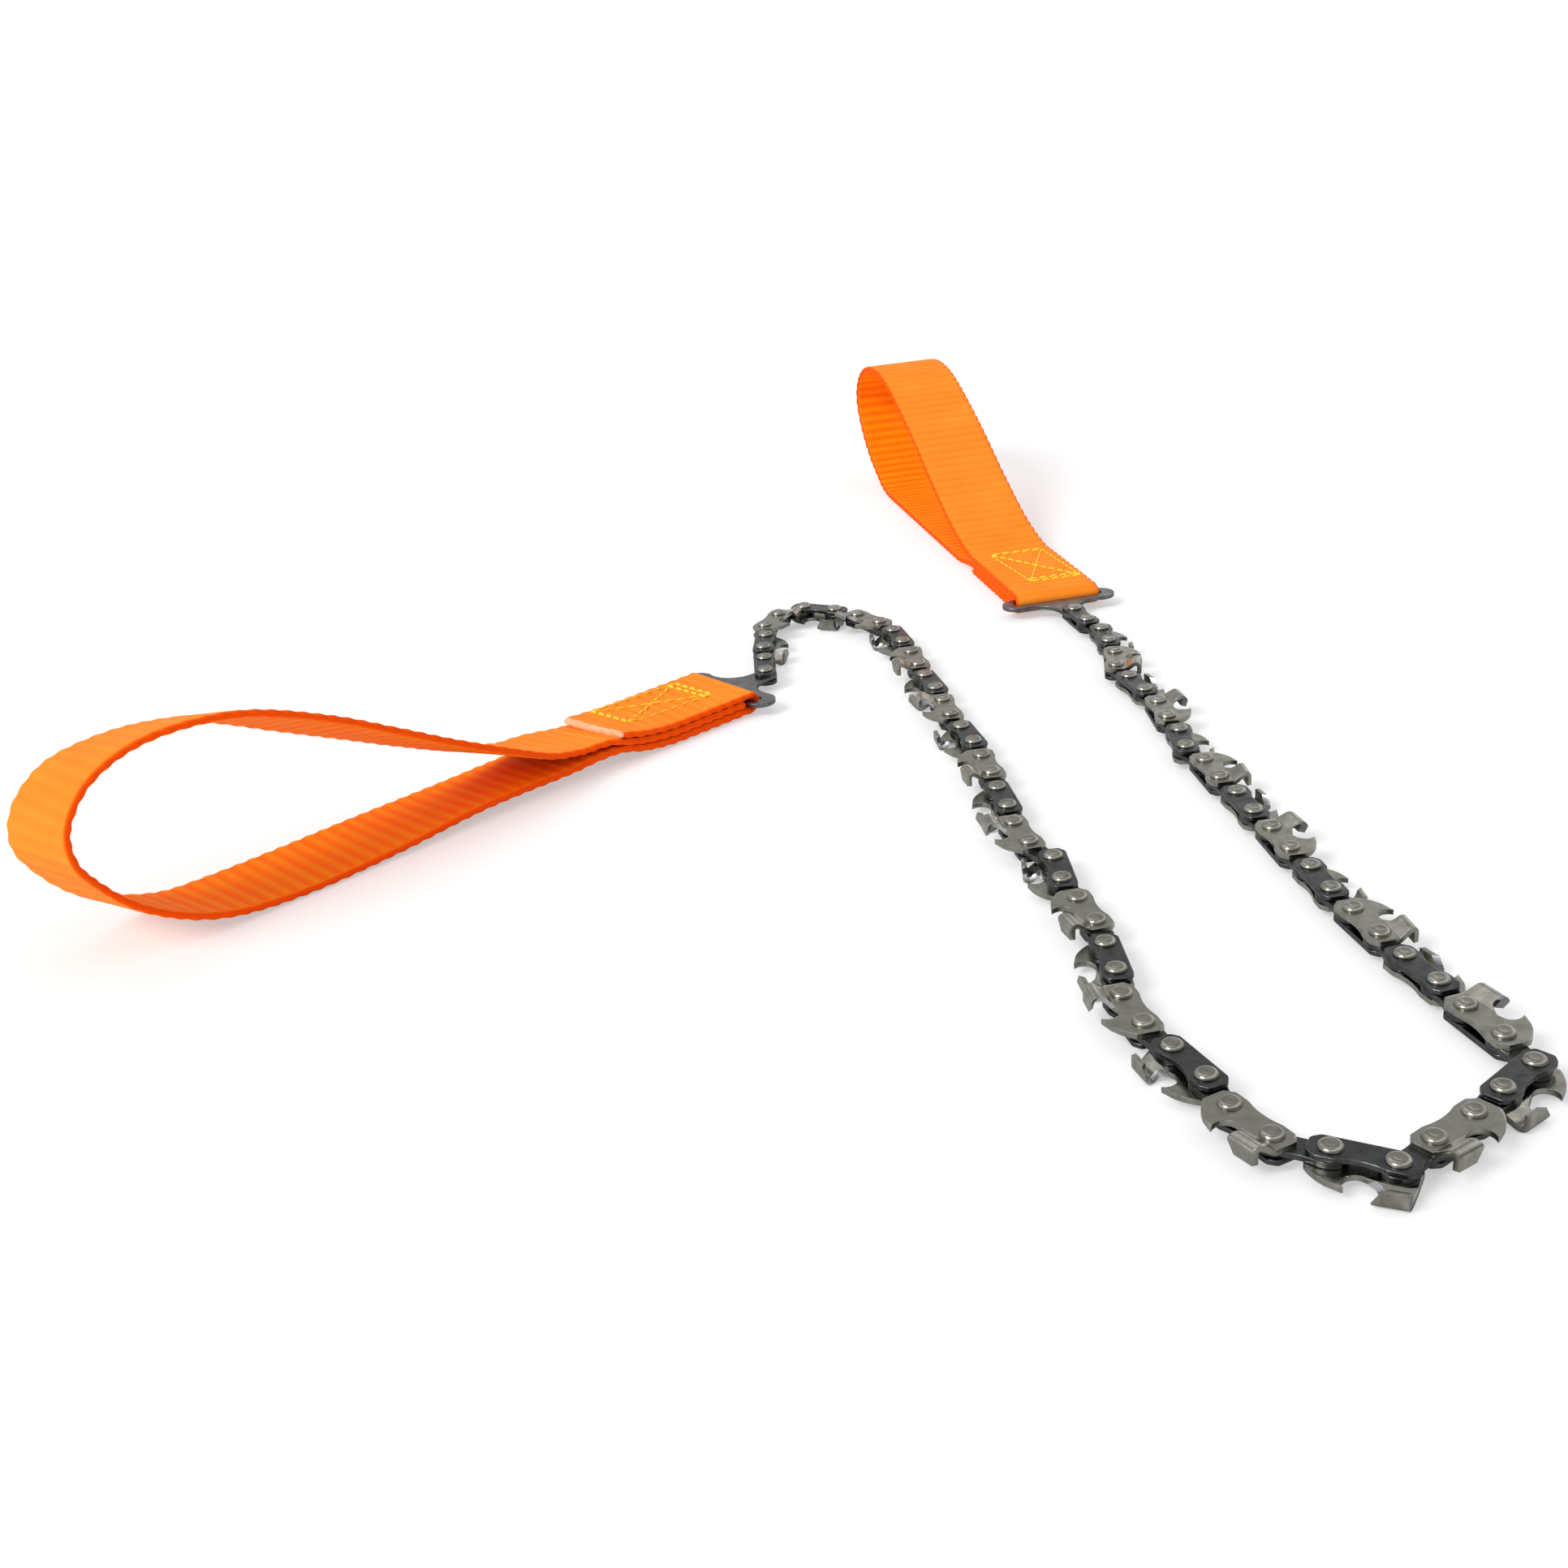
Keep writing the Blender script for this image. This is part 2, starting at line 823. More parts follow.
@dataclass
class Cutter:
    """Side plate with a chisel tooth and a raker, stamped flat and bent.

    The plate is a grid of rows that run from the rear to the front. Above the gullet the rows
    split into the tooth, whose rows follow the bent section, and the raker, which stays flat.
    Heights are measured from the line through the rivets.

    Attributes:
        layers: The chain's sizes.
        tooth_h: Height of the tooth at its cutting corner.
        raker_h: Height of the raker.
        tooth_front: Place of the cutting corner past the first rivet.
        tooth_rear: How far the tooth's top reaches behind the first rivet.
        flare: Lean of the tooth's wall in degrees.
        bend_r: Inner radius of the bend into the top plate.
        crease_r: Radius of the bend at the wall's foot.
        top_reach: How far the top plate reaches past the middle of the chain.
        relief: Angle in degrees by which the tooth falls toward its rear.
        file_d: Diameter of the file that grinds the tooth's front.
        file_above: Part of the file that stands above the top plate.
        file_angle: Slant of the file in degrees.
        gullet_r: Radius of the gullet.
        gullet_drop: How far the gullet cuts into the side plate.
        straight: Height of the short straight between the gullet and the filed front.
        back_hollow: Depth of the hollow in the back edge.
        foot: Height at which the tooth's rows start.
        foot_steps: Heights of the first rows above that.
        tooth_foot: Height at which the tooth's rear starts to lean.
        raker_back: Centre and radius of the circle behind the raker.
        rows: Rows of the side plate, as shares of the way to the tooth's foot.
        columns: Number of points in a row.
        ground_from: The first row of the tooth whose front the file has ground.
    """

    layers: Layers
    tooth_h: float = 6.7
    raker_h: float = 6.34
    tooth_front: float = 3.4
    tooth_rear: float = 2.6
    flare: float = 34
    bend_r: float = 0.35
    crease_r: float = 0.8
    top_reach: float = 0.2
    relief: float = 5
    file_d: float = 4
    file_above: float = 0.2
    file_angle: float = 30
    gullet_r: float = 2.25
    gullet_drop: float = 0.35
    straight: float = 0.4
    back_hollow: float = 0.6
    foot: float = 2.4
    foot_steps: tuple[float, ...] = (0.0, 0.05, 0.14)
    tooth_foot: float = 2.2
    raker_back: tuple[float, float, float] = (5.5, -3.25, 9.7)
    rows: tuple[float, ...] = (0, 0.2537, 0.4, 0.55, 0.7, 0.85)
    columns: int = 13
    ground_from: int = 5

    def __post_init__(self) -> None:
        """Works out the places that the rows share."""
        size, t = self.layers, self.layers.plate_t
        self.bend_mid = self.bend_r + t / 2
        self.bend_y = self.tooth_h - t / 2 - self.bend_mid
        wall_y = self.bend_y - self.bend_mid * np.sin(np.radians(self.flare))
        wall_z = size.side_z + t / 2 + (wall_y - size.half_w) * np.tan(np.radians(self.flare))
        self.wall_top = np.array([wall_y, wall_z])
        self.bend_z = wall_z - self.bend_mid * np.cos(np.radians(self.flare))
        self.reach_z = self.bend_z + self.bend_mid + t / 2
        self.gullet_x = size.outer_pitch / 2
        self.gullet_low = size.half_w - self.gullet_drop
        self.gullet_y = self.gullet_low + self.gullet_r
        self.file_y = self.tooth_h + self.file_above - self.file_d / 2
        chord = np.sqrt((self.file_d / 2) ** 2 - (self.tooth_h - self.file_y) ** 2)
        self.file_x = self.tooth_front + chord / np.cos(np.radians(self.file_angle))

    def section(self) -> tuple[Array, Array]:
        """The middle of the tooth's wall from its foot to the edge of its top plate.

        It runs straight up, turns out on an arc by the flare angle, runs along the leaning
        wall, turns back on the bend's arc and ends in the straight top plate.

        Returns:
            The points as (height, chain z), and the unit normals to the outer face.
        """
        size, lean = self.layers, along(self.flare)
        z = size.side_z + size.plate_t / 2
        foot = np.array([[self.foot + step, z] for step in self.foot_steps])
        crease = self.crease_r * np.tan(np.radians(self.flare / 2))
        centre = np.array([size.half_w - crease, z + self.crease_r])
        turn = np.linspace(0, self.flare, 4)
        bent = centre + self.crease_r * along(turn)[:, ::-1] * [1, -1]
        wall = bent[-1] + np.linspace(0, 1, 7)[1:-1, None] * (self.wall_top - bent[-1])
        sweep = np.linspace(90 + self.flare, 0, 9)
        bend = np.array([self.bend_y, self.bend_z]) + self.bend_mid * along(sweep)
        reach = np.linspace(bend[-1, 1], -self.top_reach, 6)[1:]
        top = np.column_stack([np.full(len(reach), bend[-1, 0]), reach])
        normals = np.concatenate([
            np.tile([0.0, 1.0], (len(foot), 1)), along(90 + turn),
            np.tile([-lean[1], lean[0]], (len(wall), 1)),
            along(sweep), np.tile([1.0, 0.0], (len(top), 1)),
        ])
        return np.concatenate([foot, bent, wall, bend, top]), normals

    def gullet(self, y: float | Array) -> Array:
        """Half the width of the gullet's circle at heights y, and 0 outside it."""
        return np.sqrt(np.maximum(self.gullet_r**2 - (y - self.gullet_y) ** 2, 0))

    def front(self, y: Array, z: Array) -> Array:
        """Where the tooth ends toward the raker.

        Up to the chain's edge it is the gullet's circle. Above, it is the slanted cylinder
        that the file leaves, and the two meet on a short straight.

        Args:
            y: Heights.
            z: Chain heights.

        Returns:
            The place along the link for each pair of heights.
        """
        half = self.layers.half_w
        a, r = np.radians(self.file_angle), self.file_d / 2
        top = np.maximum(y, half + self.straight)
        chord = np.sqrt(np.maximum(r**2 - (top - self.file_y) ** 2, 0))
        filed = self.file_x + ((z - self.reach_z) * np.sin(a) - chord) / np.cos(a)
        share = np.clip((y - half) / self.straight, 0, 1)
        above = (1 - share) * (self.gullet_x - self.gullet(half)) + share * filed
        return np.where(y < half, self.gullet_x - self.gullet(y), above)

    def rear(self, y: Array) -> Array:
        """Where the plate and the tooth end at the back.

        Below the tooth's foot it is the plate's end with its cut corner, and above it a
        straight that leans in to the top.

        Args:
            y: Heights.

        Returns:
            The place along the link for each height.
        """
        reach = self.layers.reach
        high = np.interp(y, [self.tooth_foot, self.tooth_h], [-reach, -self.tooth_rear])
        return np.where(y < self.tooth_foot, self.layers.corner(y) - reach, high)

    def tilted(self, x: Array, y: Array) -> Array:
        """Heights y of the section at places x, tilted by the relief about the cutting corner."""
        cosine, sine = along(self.relief)
        return self.tooth_h + (sine * (x - self.tooth_front) + (y - self.tooth_h)) / cosine

    def tooth_layer(self, side: float, share: Array) -> Array:
        """One face of the tooth.

        The section is set off by half the thickness and tilted by the relief angle about the
        cutting corner. Each row is then stretched between the rear and the front, which both
        depend on its height, so the stretching is done six times over. The first row ends in
        the middle of the gullet.

        Args:
            side: 1 for the outer face, -1 for the inner one.
            share: Places of the columns from 0 at the rear to 1 at the front.

        Returns:
            Points as rows of the section by columns.
        """
        middle, normal = self.section()
        y0, z0 = (middle + side * self.layers.plate_t / 2 * normal).T[:, :, None]
        x = share * 6 - 3
        for _ in range(6):
            y = self.tilted(x, y0)
            rear, front = self.rear(y), self.front(y, z0)
            front[0] = self.gullet_x
            x = rear + share * (front - rear)
        return np.stack(np.broadcast_arrays(x, self.tilted(x, y0), z0), -1)

    def blank(self, side: float) -> tuple[Array, Array, Array]:
        """One face of the whole cutter.

        The rear grid's rows go up the side plate from its hollow back edge in the given shares
        of the way to the tooth's foot, and on over the tooth. The front grid's rows go up in
        the same shares, and on up the raker by the square of equal steps, between the gullet's
        circle and the raker's back.

        Args:
            side: 1 for the outer face, -1 for the inner one.

        Returns:
            The points, the faces and which points lie on the ground edge.
        """
        size, half = self.layers, self.layers.half_w
        z = size.side_z + (size.plate_t if side > 0 else 0)
        share, rows = np.linspace(0, 1, self.columns), np.array(self.rows)[:, None]
        tooth = self.tooth_layer(side, share)
        seat = tooth[0]
        edge = self.rear(-half + rows * (seat[0, 1] + half))
        x = edge + share * (self.gullet_x - edge)
        back = -half + hollow(x, size.outer_pitch, self.back_hollow)
        y = back + rows * (np.interp(x, seat[:, 0], seat[:, 1]) - back)
        plain = np.stack([x, y, np.full(x.shape, z)], -1)
        rear = np.concatenate([plain, tooth])

        rise = np.linspace(0.1, 1, 10)[:, None] ** 2
        y = np.concatenate([-half + np.append(rows, [[1]], 0) * (seat[-1, 1] + half),
                            self.gullet_low + (self.raker_h - self.gullet_low) * rise])
        centre_x, centre_y, radius = self.raker_back
        near = self.gullet_x + self.gullet(y)
        far = np.minimum(size.outer_pitch + size.reach - size.corner(y),
                         centre_x + np.sqrt(radius**2 - (y - centre_y) ** 2))
        x = near + share * (far - near)
        fall = np.clip((seat[-1, 1] - y) / (seat[-1, 1] + half), 0, 1)
        lift = hollow(x, size.outer_pitch, self.back_hollow) * fall
        front = np.stack([x, y + lift, np.full(x.shape, z)], -1)

        count, cols = rear.shape[:2]
        points = np.concatenate([rear.reshape(-1, 3), front.reshape(-1, 3)])
        faces = np.concatenate([quads(count, cols), quads(len(front), cols) + count * cols])
        ground = np.zeros(len(points), bool)
        ground[np.arange(len(plain) + self.ground_from, count) * cols + cols - 1] = True
        return points, faces, ground

    def shell(self) -> Shell:
        """The cutter on the upper face with its tooth at the first rivet.

        Points of the two grids that fall on the same place become one, and the sheet is then
        thickened from its outer face to its inner one.

        Returns:
            The shell.
        """
        top, faces, ground = self.blank(1)
        bottom, _, _ = self.blank(-1)
        key = (top * WELD).round().astype(int)
        _, first, back = np.unique(key, axis=0, return_index=True, return_inverse=True)
        return thickened(top[first], bottom[first], back.ravel()[faces], ground[first])


@dataclass
class Rivet:
    """Stepped rivet with a thick hub, thin shanks and two domed heads.

    Attributes:
        layers: The chain's sizes.
        hub_d: Diameter of the hub.
        shank_d: Diameter of the shanks.
        head_d: Diameter of the heads.
        head_h: Height of the heads.
        seat_clear: Room between the side plates and the hub or a head.
        dent: Depth of the dent that riveting leaves in a head.
        dent_rings: Radii of the dent's rim, foot and middle ring, as shares of the head's flat.
        around: Number of points round the rivet.
    """

    layers: Layers
    hub_d: float = 3.6
    shank_d: float = 2.6
    head_d: float = 4.1
    head_h: float = 0.8
    seat_clear: float = 0.02
    dent: float = 0.025
    dent_rings: tuple[float, float, float] = (0.62, 0.5, 0.3)
    around: int = 32

    def shell(self) -> Shell:
        """The rivet about the z axis: each head ends in a quarter round and a dented flat.

        Returns:
            The shell.
        """
        size = self.layers
        hub, shank, head = self.hub_d / 2, self.shank_d / 2, self.head_d / 2
        seat = size.side_z - self.seat_clear
        low = size.side_z + size.plate_t + self.seat_clear
        flat, top = head - self.head_h, low + self.head_h
        rim_r, foot_r, middle_r = flat * np.array(self.dent_rings)
        upper = np.array([
            [hub, seat], [shank, seat], [shank, low],
            *arc([flat, low], self.head_h, 0, 90, 6),
            [rim_r, top], [foot_r, top - self.dent], [middle_r, top - self.dent],
        ])
        return lathe(np.concatenate([upper[::-1] * [1, -1], upper]), self.around)


@dataclass
class CentreLink:
    """Figure-of-eight link between two outer links, waisted on both sides.

    Attributes:
        layers: The chain's sizes.
        waist: Depth of the hollow on each side.
        edge: Radius of the rounded edges.
    """

    layers: Layers
    waist: float = 0.6
    edge: float = 0.15

    def shell(self) -> Shell:
        """The link with its first rivet at x = 0.

        Its outline is a half circle about each rivet and a shallow hollow between them on
        both sides.

        Returns:
            The shell.
        """
        size = self.layers
        half, pitch = size.half_w, size.centre_pitch
        top = hollow_edge(half, pitch, self.waist, 15)
        outline = np.concatenate([
            arc([pitch, 0], half, -90, 90, 16), top,
            arc([0, 0], half, 90, 270, 16), top[::-1] * [1, -1],
        ])
        holes = [size.hole(0), size.hole(pitch)]
        return plate([outline, *holes], -size.link_t / 2, size.link_t / 2, self.edge, 2)


@dataclass
class EndPlate:
    """Flat T-shaped plate: a round neck, two wings with round ends and a slot.

    Attributes:
        layers: The chain's sizes.
        neck_w: Width of the neck round the rivet.
        flare_r: Radius of the hollow between the neck and a wing.
        slot_front: Distance from the rivet to the slot.
        slot_l: Length of the slot along the plate.
        slot_end: Distance from the middle to the centre of the slot's round end.
        lobe_r: Radius of a wing's round end.
        lobe_s: Distance of its centre from the rivet, along the plate.
        lobe_y: Distance of its centre from the middle.
        edge: Radius of the rounded edges.
    """

    layers: Layers
    neck_w: float = 6
    flare_r: float = 7
    slot_front: float = 12
    slot_l: float = 2.9
    slot_end: float = 11.5
    lobe_r: float = 4
    lobe_s: float = 13
    lobe_y: float = 12.5
    edge: float = 0.16

    def shell(self) -> Shell:
        """The plate with its rivet at x = 0 and its wings toward x.

        Half the outline is the circle of a wing's end and the circle of the hollow, which
        touch where the line between their centres crosses them. The other half mirrors it,
        and a half circle joins them round the rivet.

        Returns:
            The shell.
        """
        size = self.layers
        hollow_y = self.neck_w / 2 + self.flare_r
        span = self.lobe_r + self.flare_r
        hollow_s = self.lobe_s - np.sqrt(span**2 - (hollow_y - self.lobe_y) ** 2)
        meet = np.degrees(np.arctan2(self.lobe_y - hollow_y, self.lobe_s - hollow_s))
        wing = arc([self.lobe_s, self.lobe_y], self.lobe_r, 0, 180 + meet, 28)
        sweep = arc([hollow_s, hollow_y], self.flare_r, meet, -90, 24)
        half = np.concatenate([wing, sweep[1:]])
        neck = arc([0, 0], self.neck_w / 2, 90, 270, 20)
        outline = np.concatenate([half, neck, half[::-1] * [1, -1]])
        middle, round_r = self.slot_front + self.slot_l / 2, self.slot_l / 2
        slot = np.concatenate([
            arc([middle, self.slot_end], round_r, 180, 0, 12),
            arc([middle, -self.slot_end], round_r, 0, -180, 12),
        ])
        outlines = [outline, slot, size.hole(0)]
        return plate(outlines, -size.link_t / 2, size.link_t / 2, self.edge)


# Direction of every outer and every centre link in degrees, from the right handle on: the right
# arm of the U, its bottom, the left arm and the curl.
OUTER_HEADINGS = [
    -80, -90, -100, -80, -90, -95, -85, -85, -85, -85, -80, -75, -75,
    -140, -145, -210,
    -245, -250, -260, -270, -260, -270, -260, -265, -265, -260, -265, -260, -265, -260,
    -235, -210, -115, -95, -90,
]
CENTRE_HEADINGS = [
    -75, -90, -80, -80, -85, -75, -80, -80, -80, -80, -80, -80, -80,
    -140, -145, -210,
    -260, -250, -275, -270, -260, -245, -270, -270, -265, -260, -265, -265, -260, -250,
    -225, -150, -90, -90,
]


@dataclass
class Chain:
    """The whole saw chain, laid out link by link from the right handle.

    Attributes:
        layers: The chain's sizes.
        first_rivet: Place of the first rivet.
        cutter_edge: Width of the rounding on the cutters' stamped edges.
        made: Number of pieces made so far.
    """

    layers: Layers = field(default_factory=Layers)
    first_rivet: tuple[float, float] = (105, 37)
    cutter_edge: float = 0.09
    made: int = 0

    def __post_init__(self) -> None:
        """Lays out the rivets: each is one pitch along the heading from the one before."""
        links = np.empty(len(OUTER_HEADINGS) + len(CENTRE_HEADINGS))
        links[0::2], links[1::2] = OUTER_HEADINGS, CENTRE_HEADINGS
        pitch = np.full(len(links), self.layers.outer_pitch)
        pitch[1::2] = self.layers.centre_pitch
        steps = np.cumsum(pitch[:, None] * along(links), 0)
        self.rivets = np.concatenate([[self.first_rivet], self.first_rivet + steps])

    def matrix(self, rivet: int, heading: float, side: Side = Side.UPPER,
               flip: float = 0) -> Array:
        """Places a piece on a link.

        Args:
            rivet: The rivet at the piece's own x = 0, counted from 0.
            heading: Direction of the piece's own x.
            side: The face that it is on.
            flip: The link's length where the piece is turned end for end, or 0.

        Returns:
            A 4 x 4 matrix in millimetres.
        """
        c, s = along(heading)
        x, y = self.rivets[rivet]
        place = np.array([[c, -s, 0, x], [s, c, 0, y], [0, 0, side.value, MID_Z], [0, 0, 0, 1.0]])
        if flip:
            place = place @ np.array([[-1, 0, 0, flip], [0, 1, 0, 0], [0, 0, 1, 0], [0, 0, 0, 1.0]])
        return place

    def add(self, name: str, shell: Shell, finishes: list[Finish], body: str, nodes: list[str],
            edge: float = 0) -> None:
        """Makes a piece, rounds its edges and hangs it on its body.

        Args:
            name: Name of the piece.
            shell: Its surface, in place.
            finishes: Its finishes.
            body: The body that carries it.
            nodes: The nodes that it stands for.
            edge: Width of the rounded edges that the mesh doesn't have yet.
        """
        piece = bevelled(shell.piece(name, finishes), edge)
        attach(piece, body)
        if nodes:
            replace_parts(piece, *nodes)
        self.made += 1

    def outer_link(self, n: int, shells: dict[str, Shell]) -> str:
        """Makes an outer link: its cutter or plain strap, the strap opposite and two rivets.

        Args:
            n: The link's number, from 1.
            shells: The shells of a cutter, a strap and a rivet.

        Returns:
            The body that carries the link.
        """
        first, heading = 2 * (n - 1), OUTER_HEADINGS[n - 1]
        plain = n in (1, len(OUTER_HEADINGS))
        body = f"{'plain' if plain else 'cutter'}_link_{n:02d}"
        side, other = (Side.UPPER, Side.LOWER) if n % 2 else (Side.LOWER, Side.UPPER)
        lead = Lead.TOOTH if n % 4 < 2 else Lead.RAKER
        flip = 0 if lead is Lead.TOOTH else self.layers.outer_pitch
        if plain:
            near = shells["strap"].placed(self.matrix(first, heading, side))
            self.add(f"tie_strap_{n:02d}a", near, [BLUED_STEEL], body, [body])
        else:
            near = shells["cutter"].placed(self.matrix(first, heading, side, flip))
            self.add(f"cutter_{n:02d}", near, [CUTTER_STEEL, GROUND_STEEL], body, [body],
                     self.cutter_edge)
        far = shells["strap"].placed(self.matrix(first, heading, other))
        self.add(f"tie_strap_{n:02d}", far, [BLUED_STEEL], body, [])
        for k in (first, first + 1):
            rivet = shells["rivet"].placed(self.matrix(k, heading))
            self.add(f"rivet_{k + 1:02d}", rivet, [RIVET_STEEL], body, [])
        return body

    def build(self) -> None:
        """Makes every link and rivet.

        A centre link with no body of its own rides on the outer link before it.
        """
        size = self.layers
        shells = {"cutter": Cutter(size).shell(), "strap": TieStrap(size).shell(),
                  "rivet": Rivet(size).shell()}
        centre = CentreLink(size).shell()
        for n in range(1, len(OUTER_HEADINGS) + 1):
            carrier = self.outer_link(n, shells)
            if n > len(CENTRE_HEADINGS):
                continue
            own = f"centre_link_{n:02d}"
            body, nodes = (own, [own]) if own in frame["bodies"] else (carrier, [])
            link = centre.placed(self.matrix(2 * n - 1, CENTRE_HEADINGS[n - 1]))
            self.add(f"centre_{n:02d}", link, [BLUED_STEEL], body, nodes)
        length = np.linalg.norm(np.diff(self.rivets, axis=0), axis=1).sum()
        log.info("chain: %d pieces, %.0f mm between its end rivets", self.made, length)


# ---------------------------------------------------------------- the handles

def smooth(points: Array, step: float) -> Array:
    """A smooth curve through points, cut into equal lengths.

    Between two points the curve is the cubic that leaves each along the line between its
    neighbours. Its length is measured in the first two columns.

    Args:
        points: The points to pass through.
        step: Length between the returned points.

    Returns:
        Points about one step apart.
    """
    p = np.concatenate([[2 * points[0] - points[1]], points, [2 * points[-1] - points[-2]]])
    a, b, c, d = p[:-3], p[1:-2], p[2:-1], p[3:]
    t = np.linspace(0, 1, 33)[:-1, None, None]
    squares, cubes = 2 * a - 5 * b + 4 * c - d, 3 * b - a - 3 * c + d
    curve = (2 * b + (c - a) * t + squares * t**2 + cubes * t**3) / 2
    line = np.concatenate([curve.transpose(1, 0, 2).reshape(-1, points.shape[1]), points[-1:]])
    length = np.append(0, np.cumsum(np.linalg.norm(np.diff(line[:, :2], axis=0), axis=1)))
    at = np.linspace(0, length[-1], int(length[-1] / step) + 2)
    return np.stack([np.interp(at, length, column) for column in line.T], -1)


class Flap(Enum):
    """Side of the end plate that the sewn end of the webbing lies on."""

    ABOVE = 1
    BELOW = -1


# Rows of a hand loop: distance to the rivet, height, sideways drift and lean in degrees.
RIGHT_LOOP = [
    [78, 10, 0, 0], [90, 15, 0, 0], [104, 21.5, 0, 0], [116, 27.5, 0, 0], [132, 34.5, 0, 0],
    [150, 41, 0, 0], [165, 43, 0, 0], [179, 41, 0, 0], [188, 36.5, 0, 0], [193, 30, 0, 0],
    [192, 23, 0, 0], [186, 15.5, 0, 0], [178, 9.5, 0, 0], [170, 5.5, 0, 0], [162, 2.2, 0, 0],
    [152, 0.9, 0, 0], [136, 0.9, 0, 0], [120, 0.9, 0, 0], [96, 0.9, 0, 0], [72, 0.9, 0, 0],
]
LEFT_LOOP = [
    [72, 3, 0, 4], [96, 2.5, 0, 5], [120, 1.5, 0.5, 1], [140, 1, 1, 0], [155, 1.5, 1.5, 2],
    [165, 3, 2, 6], [174, 6.5, 2, 9], [181.5, 11.5, 2, 11], [187.5, 18.5, 1.5, 11],
    [190.5, 25, 1.5, 9], [189, 32, 1, 2], [182.5, 38.5, 0.5, -5], [173, 41.5, 0, -11],
    [161, 42, 0, -14], [147, 39.5, 0, -16], [130.5, 32.5, 0.5, -18], [116, 25.5, 1.5, -16],
    [104, 19.5, 2, -14], [90, 13, 2, -12], [78, 8.2, 1, -8],
]


@dataclass
class HandleStrap:
    """One length of webbing: a sewn flap, the fold round the end plate's bar and a hand loop.

    Attributes:
        side: Right or left, for the names of the pieces.
        place: Place of the rivet in the end plate.
        heading: Direction from that rivet to the loop, in degrees.
        flap: Side of the end plate that the flap lies on.
        loop: Rows of the hand loop.
        box: Corners of the sewn box: distance to the rivet and place across.
        width: Width of the webbing.
        thick: Its thickness on a rib.
        layer_z: Distance from the middle of the end plate to the middle of a layer beside it.
        fold_s: Distance from the rivet to the middle of the fold.
        fold_run: Length of the straight beside the fold.
        flap_end: Distance from the rivet to the end of the flap.
        back_end: Distance from the rivet to where the lower layer leaves the stack.
        mid_start: Distance from the rivet to where the middle layer enters the stack.
        mid_end: Distance from the rivet to the hidden end of the webbing.
        rib: Distance between ribs.
        rib_h: Height of a rib on each face.
        draw_in: Share of the width by which the edges draw in between ribs.
        rise: Height by which the end of the stack lifts off the floor.
        tilt: Slope of that lift across the webbing.
        rise_from: Distance from the rivet to where the lift starts.
        stitch: Length of a stitch with its gap.
        stitch_gap: Share of that length left free at each end.
        second_row: Distance between the two rows of stitches nearest the plate.
        stitch_low: Depth at which a stitch's middle line starts below the cloth.
        stitch_hump: Height of its middle above that.
        bead_out: Distance from the flap's end to the middle line of the melted end.
        bead_bulge: How far that line bulges out in the middle of the webbing.
        bead_deep: Radius of the melted end along the webbing. Its radius upward is 1.
        floor_clear: Lowest height of thread and melted end.
    """

    side: str
    place: tuple[float, float]
    heading: float
    flap: Flap
    loop: list[list[float]]
    box: tuple[tuple[float, float], ...]
    width: float = 25
    thick: float = 1.8
    layer_z: float = 1.95
    fold_s: float = 15.3
    fold_run: float = 2
    flap_end: float = 56
    back_end: float = 50
    mid_start: float = 54
    mid_end: float = 17.6
    rib: float = WEBBING.rib
    rib_h: float = 0.17
    draw_in: float = 0.02
    rise: float = 0.0
    tilt: float = 0.0
    rise_from: float = 38
    stitch: float = 3.1
    stitch_gap: float = 0.1
    second_row: float = 2.1
    stitch_low: float = 0.08
    stitch_hump: float = 0.16
    bead_out: float = 0.2
    bead_bulge: float = 0.6
    bead_deep: float = 1.05
    floor_clear: float = 0.02

    def lift(self, s: Array | float, b: Array | float = 0.0) -> Array:
        """How far the stack lifts off the floor.

        It is the square of the way from rise_from to the flap's end, times the rise and, across
        the webbing, the tilt.

        Args:
            s: Distances to the rivet.
            b: Places across the webbing.

        Returns:
            The lift at each place.
        """
        way = np.clip((s - self.rise_from) / (self.flap_end - self.rise_from), 0, None)
        return way**2 * (self.rise + self.tilt * b)

    def row(self, s: float, z: float, run: int) -> list[float]:
        """A row of the raised stack.

        Args:
            s: Distance to the rivet.
            z: Height before the lift.
            run: 1 where the webbing leaves the plate, -1 where it comes back and 0 at the fold.

        Returns:
            A row like a loop's, whose lean follows the tilt.
        """
        lift = self.lift(s)
        return [s, z + lift, 0, run * np.degrees(self.tilt) * lift / max(self.rise, 1e-9)]

    def route(self) -> Array:
        """The webbing's way: flap, fold, lower layer, loop and hidden middle layer.

        The fold is a half circle round the bar and the rest straights and the loop's rows, all
        smoothed and held above the floor.

        Returns:
            Rows like a loop's, an eighth of a rib apart.
        """
        up, z, d = self.flap.value, MID_Z, self.layer_z
        near = self.fold_s + self.fold_run
        flap = [self.row(s, z + up * d, -1) for s in np.linspace(self.flap_end, near, 8)]
        fold = [self.row(self.fold_s - d * np.cos(a), z + up * d * np.sin(a), 0)
                for a in np.radians(np.linspace(90, -90, 13))]
        back = [self.row(s, z - up * d, 1) for s in np.linspace(near, self.back_end, 5)]
        if self.flap is Flap.BELOW:
            out = [[58, z + d + 0.1, 0, 0], [68, z + d + 2, 0, 0]]
            home = [[63, z - 0.9, 0, 0]]
        else:
            out = [self.row(57, z - d, 1), [65, 3.2, 0, 5]]
            home = [[69, z + 3.5, 0, -5], self.row(60, z, -1)]
        last = [self.row(s, z, -1) for s in np.linspace(self.mid_start, self.mid_end, 6)]
        line = smooth(np.array(flap + fold + back + out + self.loop + home + last), self.rib / 8)
        line[:, 1] = np.maximum(line[:, 1], self.thick / 2)
        return line

